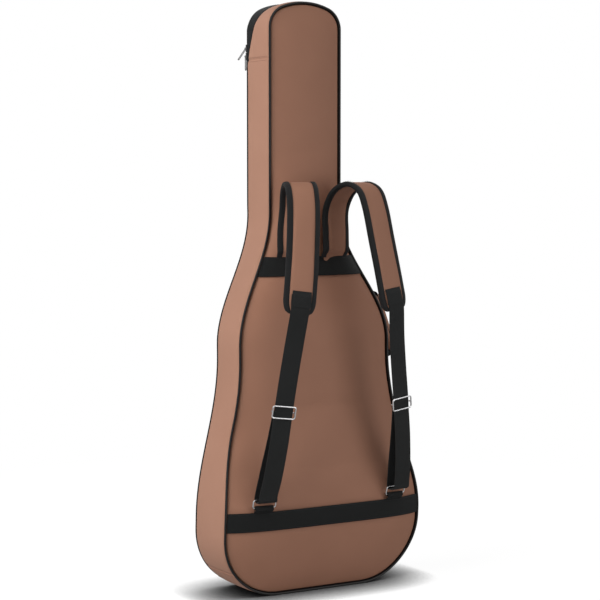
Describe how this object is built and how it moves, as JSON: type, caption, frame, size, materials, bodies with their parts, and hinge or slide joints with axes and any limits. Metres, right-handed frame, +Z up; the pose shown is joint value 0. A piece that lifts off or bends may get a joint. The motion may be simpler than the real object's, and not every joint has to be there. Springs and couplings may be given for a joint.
{
  "type": "padded gig bag",
  "caption": "Padded guitar bag that stands on its base, with a zipped front lid, two padded shoulder straps, a side handle and a flat front pocket.",
  "frame": {"origin": "middle of the flat base, on the surface that the bag stands on", "axes": "+Z up along the neck, +X to the right as seen from behind, -Y out of the back, +Y out of the zipped front"},
  "size_m": [0.4143, 0.2619, 1.071],
  "materials": {
    "cover": "soft matt brown leather-like cloth",
    "gusset": "soft matt brown leather-like cloth",
    "foam": "closed-cell foam in knitted cloth",
    "lining": "plush lining",
    "piping": "black piping with a soft sheen",
    "teeth": "black coil zip",
    "zip_tape": "black herringbone zip tape",
    "wire": "polished nickel plate",
    "binding": "black ribbed binding tape",
    "webbing": "black nylon webbing"
  },
  "bodies": {
    "bag": {"back_panel": "cover", "back_foam": "foam", "back_lining": "lining", "left_gusset": "gusset", "right_gusset": "gusset", "head_gusset": "gusset", "base_gusset": "gusset", "back_piping": "piping", "hinge_strip": "webbing", "zip_tape_body": "zip_tape", "zip_teeth_body": "teeth", "neck_rest": "foam", "neck_strap": "webbing", "end_pad": "foam", "lower_band": "webbing", "upper_band": "webbing", "left_strap_pad": "cover", "right_strap_pad": "cover", "left_strap_binding": "binding", "right_strap_binding": "binding", "left_strap_webbing": "webbing", "right_strap_webbing": "webbing", "left_strap_patch": "binding", "right_strap_patch": "binding", "left_ring_tab": "webbing", "right_ring_tab": "webbing", "handle_patches": "webbing"},
    "lid": {"front_panel": "cover", "front_foam": "foam", "front_lining": "lining", "zip_tape_lid": "zip_tape", "zip_teeth_lid": "teeth", "pocket_panel": "cover", "pocket_zip_tape": "zip_tape", "pocket_teeth": "teeth"},
    "pocket_slider": {"pocket_slider": "wire"},
    "pocket_pull": {"pocket_pull": "wire"},
    "upper_slider": {"upper_slider": "wire"},
    "upper_pull": {"upper_pull": "wire"},
    "lower_slider": {"lower_slider": "wire"},
    "lower_pull": {"lower_pull": "wire"},
    "left_ring": {"left_ring": "wire"},
    "right_ring": {"right_ring": "wire"},
    "left_triglide": {"left_triglide": "wire"},
    "right_triglide": {"right_triglide": "wire"},
    "handle": {"handle_webbing": "webbing", "handle_grip": "gusset"}
  },
  "joints": [
    {"name": "lid_hinge", "type": "hinge", "parent": "bag", "child": "lid", "pos_m": [0, 0.05776, 0.02185], "axis": [-1, 0, 0], "range_deg": [0, 80]},
    {"name": "upper_slider_slide", "type": "slide", "parent": "bag", "child": "upper_slider", "axis": [0, 0, 1], "range_m": [0, 0.024]},
    {"name": "lower_slider_slide", "type": "slide", "parent": "bag", "child": "lower_slider", "axis": [0, 0, -1], "range_m": [0, 0.25]},
    {"name": "upper_pull_hinge", "type": "hinge", "parent": "upper_slider", "child": "upper_pull", "pos_m": [-0.07296, 0.08952, 0.9883], "axis": [0.766, 0.6428, 0], "range_deg": [0, 110]},
    {"name": "lower_pull_hinge", "type": "hinge", "parent": "lower_slider", "child": "lower_pull", "pos_m": [-0.07296, 0.08952, 0.9737], "axis": [0.766, 0.6428, 0], "range_deg": [0, 45]},
    {"name": "pocket_slider_slide", "type": "slide", "parent": "lid", "child": "pocket_slider", "axis": [1, 0, 0], "range_m": [0, 0.18]},
    {"name": "pocket_pull_hinge", "type": "hinge", "parent": "pocket_slider", "child": "pocket_pull", "pos_m": [-0.09, 0.07491, 0.322], "axis": [0, 0, 1], "range_deg": [0, 170]},
    {"name": "left_ring_hinge", "type": "hinge", "parent": "bag", "child": "left_ring", "pos_m": [-0.138, -0.09375, 0.1695], "axis": [0.9925, -0.1219, 0], "range_deg": [-4, 4]},
    {"name": "right_ring_hinge", "type": "hinge", "parent": "bag", "child": "right_ring", "pos_m": [0.138, -0.09375, 0.1695], "axis": [0.9925, 0.1219, 0], "range_deg": [-4, 4]},
    {"name": "left_triglide_slide", "type": "slide", "parent": "bag", "child": "left_triglide", "axis": [0.1101, -0.0825, 0.9905], "range_m": [-0.02, 0.02]},
    {"name": "right_triglide_slide", "type": "slide", "parent": "bag", "child": "right_triglide", "axis": [-0.1101, -0.0825, 0.9905], "range_m": [-0.02, 0.02]},
    {"name": "handle_swing", "type": "hinge", "parent": "bag", "child": "handle", "pos_m": [0.16649, 0.014, 0.40253], "axis": [-0.1882, 0, 0.9821], "range_deg": [-20, 20]}
  ]
}
